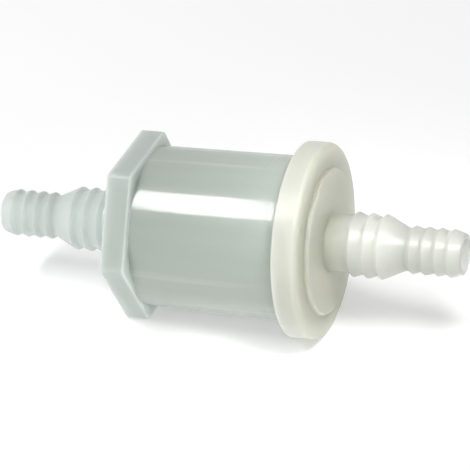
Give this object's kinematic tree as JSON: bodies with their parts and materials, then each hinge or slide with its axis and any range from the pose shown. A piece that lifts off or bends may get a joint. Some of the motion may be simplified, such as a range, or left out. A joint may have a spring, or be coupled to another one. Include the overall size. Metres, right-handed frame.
{
  "type": "inline fuel filter",
  "caption": "Small in-line fuel filter: translucent barrel with a hexagonal end and a round cap, a stepped hose nipple at each end, and a pleated paper element inside.",
  "frame": {"origin": "on the flow axis, in the middle of the overall length", "axes": "+X along the flow axis towards the outlet at the round cap; +Z normal to a flat of the hexagon, up; +Y towards a corner of the hexagon"},
  "size_m": [0.0712, 0.0288, 0.0288],
  "materials": {
    "body_plastic": "glossy translucent natural nylon, greenish grey",
    "cap_plastic": "semi-gloss warm off-white moulded plastic",
    "disc_plastic": "plain moulded white plastic",
    "seal_rubber": "black fuel-resistant rubber",
    "tube_plastic": "plain moulded white plastic",
    "filter_paper": "resin-treated cellulose paper",
    "seam_adhesive": "hot-melt adhesive",
    "potting": "soft cast plastisol"
  },
  "bodies": {
    "root": {"filter_body": "body_plastic", "outlet_cap": "cap_plastic", "inlet_end_disc": "disc_plastic", "outlet_end_disc": "disc_plastic", "neck_seal_ring": "seal_rubber", "centre_tube": "tube_plastic", "pleated_media": "filter_paper", "media_seam_strip": "seam_adhesive", "inlet_potting_ring": "potting", "outlet_potting_ring": "potting"}
  },
  "joints": []
}
